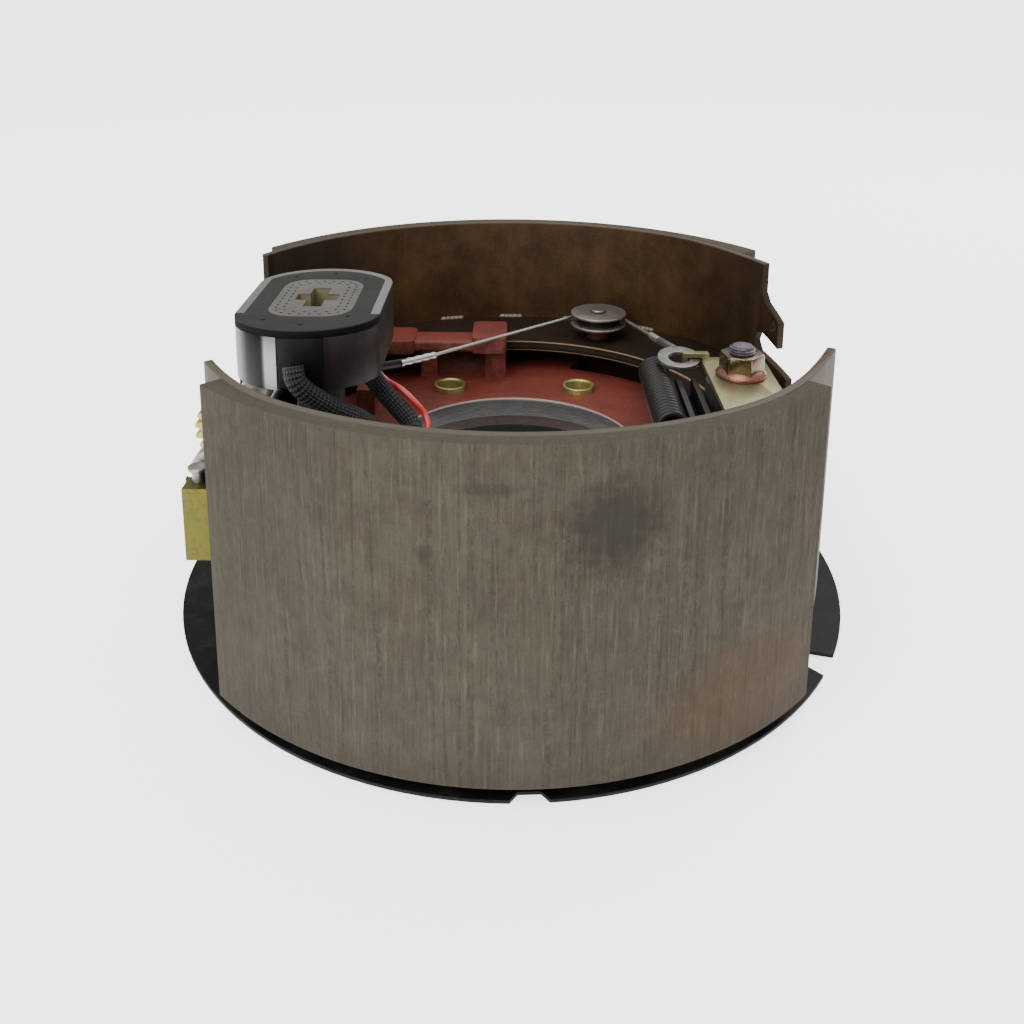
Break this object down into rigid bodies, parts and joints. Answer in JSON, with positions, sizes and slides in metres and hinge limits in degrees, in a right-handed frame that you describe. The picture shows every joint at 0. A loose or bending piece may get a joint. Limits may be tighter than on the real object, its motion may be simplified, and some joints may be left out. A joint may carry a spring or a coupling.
{
  "type": "electric drum brake",
  "caption": "Electric drum brake for a heavy trailer axle: two curved shoes, cast spider, anchor post, cable-worked adjuster, actuating arm and oblong electromagnet on a dished dust shield.",
  "frame": {"origin": "on the spindle axis, at the underside of the dust shield's flat rim", "axes": "+Z along the spindle axis, outboard; +X towards the anchor post; the adjuster is at -X"},
  "size_m": [0.3044, 0.31, 0.135],
  "materials": {
    "lining": "rough, worn and slightly rusty",
    "shoe_brown": "satin brown, rubbed bright at its edges",
    "cast_red": "matte red-brown primer on rough casting",
    "shield_black": "satin black with dust",
    "zinc_yellow": "yellow zinc plating",
    "steel_dark": "dark oiled steel",
    "steel": "plain steel",
    "steel_light": "bright steel",
    "link_black": "satin black",
    "copper": "copper-coloured",
    "friction_dark": "dark friction face",
    "moulding": "matte",
    "braid": "dark braided sleeve",
    "rubber": "matte",
    "wire_red": "glossy insulation"
  },
  "bodies": {
    "backing": {"dust_shield": "shield_black", "spider": "cast_red", "mounting_sleeves": "zinc_yellow", "shield_screws": "steel_dark", "anchor_post": "steel_dark", "anchor_plate": "zinc_yellow", "anchor_nut": "zinc_yellow", "arm_pin": "steel", "arm_retainer": "steel_dark", "lead_grommet": "rubber", "lead_cable": "rubber", "lead_clip": "moulding", "lead_clip_screw": "steel", "cable_eye": "steel_light"},
    "near_shoe": {"near_lining": "lining", "near_table": "shoe_brown", "near_web": "shoe_brown", "adjuster_socket": "steel", "lever_bracket": "zinc_yellow", "bracket_rivets": "steel", "lever_pin": "steel", "lever_spring": "steel_dark"},
    "far_shoe": {"far_lining": "lining", "far_table": "shoe_brown", "far_web": "shoe_brown", "pulley_spacer": "copper", "pulley_rivet": "steel", "retractor_spring": "steel_dark", "adjuster_spring": "steel_dark", "adjuster_cable": "steel", "cable_crimp": "steel_light", "cable_hook": "steel_dark"},
    "guide_pulley": {"pulley": "steel"},
    "screw": {"star_screw": "zinc_yellow"},
    "long_nut": {"adjuster_nut": "steel"},
    "lever": {"adjuster_lever": "zinc_yellow"},
    "arm": {"actuating_arm": "steel_dark", "magnet_clip": "zinc_yellow", "magnet_spring": "steel_dark"},
    "link": {"push_link": "link_black"},
    "magnet": {"magnet_case": "steel", "magnet_face": "friction_dark", "magnet_core": "steel_light", "magnet_moulding": "moulding", "magnet_coil": "copper", "lead_front": "braid", "lead_rear": "braid", "lead_wire": "wire_red"}
  },
  "joints": [
    {"name": "near_shoe_swing", "type": "hinge", "parent": "backing", "child": "near_shoe", "pos_m": [0.105, 0, 0.075], "axis": [0, 0, 1], "range_deg": [0, 1.2], "deforming": ["retractor_spring", "adjuster_spring"]},
    {"name": "far_shoe_swing", "type": "hinge", "parent": "backing", "child": "far_shoe", "pos_m": [0.105, 0, 0.075], "axis": [0, 0, -1], "range_deg": [0, 1.2], "deforming": ["retractor_spring", "adjuster_spring", "adjuster_cable", "cable_crimp", "cable_hook"]},
    {"name": "pulley_turn", "type": "hinge", "parent": "far_shoe", "child": "guide_pulley", "pos_m": [0.047, 0.109, 0.088], "axis": [0, 0, 1], "continuous": true},
    {"name": "screw_turn", "type": "hinge", "parent": "near_shoe", "child": "screw", "pos_m": [-0.126, 0, 0.075], "axis": [0, 1, 0], "range_deg": [0, 1440]},
    {"name": "nut_travel", "type": "slide", "parent": "near_shoe", "child": "long_nut", "axis": [0, 1, 0], "range_m": [0, 0.005]},
    {"name": "lever_swing", "type": "hinge", "parent": "near_shoe", "child": "lever", "pos_m": [-0.131, 0, 0.05], "axis": [0, 1, 0], "range_deg": [0, 8], "deforming": ["lever_spring", "cable_hook"]},
    {"name": "arm_swing", "type": "hinge", "parent": "backing", "child": "arm", "pos_m": [0.072, -0.024, 0.071], "axis": [0, 0, -1], "range_deg": [0, 2.5], "deforming": ["lead_front", "lead_rear", "lead_wire"]},
    {"name": "link_turn", "type": "hinge", "parent": "arm", "child": "link", "pos_m": [0.0825, -0.024, 0.079], "axis": [0, 0, -1], "range_deg": [-2.5, 0]},
    {"name": "magnet_float", "type": "slide", "parent": "arm", "child": "magnet", "axis": [0, 0, 1], "range_m": [-0.004, 0], "deforming": ["magnet_spring", "lead_front", "lead_rear", "lead_wire"]}
  ],
  "couplings": [
    {"joint": "nut_travel", "follows": "far_shoe_swing", "m_per_rad": 0.22647},
    {"joint": "screw_turn", "follows": "far_shoe_swing", "ratio": 1138.4},
    {"joint": "near_shoe_swing", "follows": "arm_swing", "ratio": 0.4667},
    {"joint": "link_turn", "follows": "arm_swing", "ratio": -1}
  ]
}
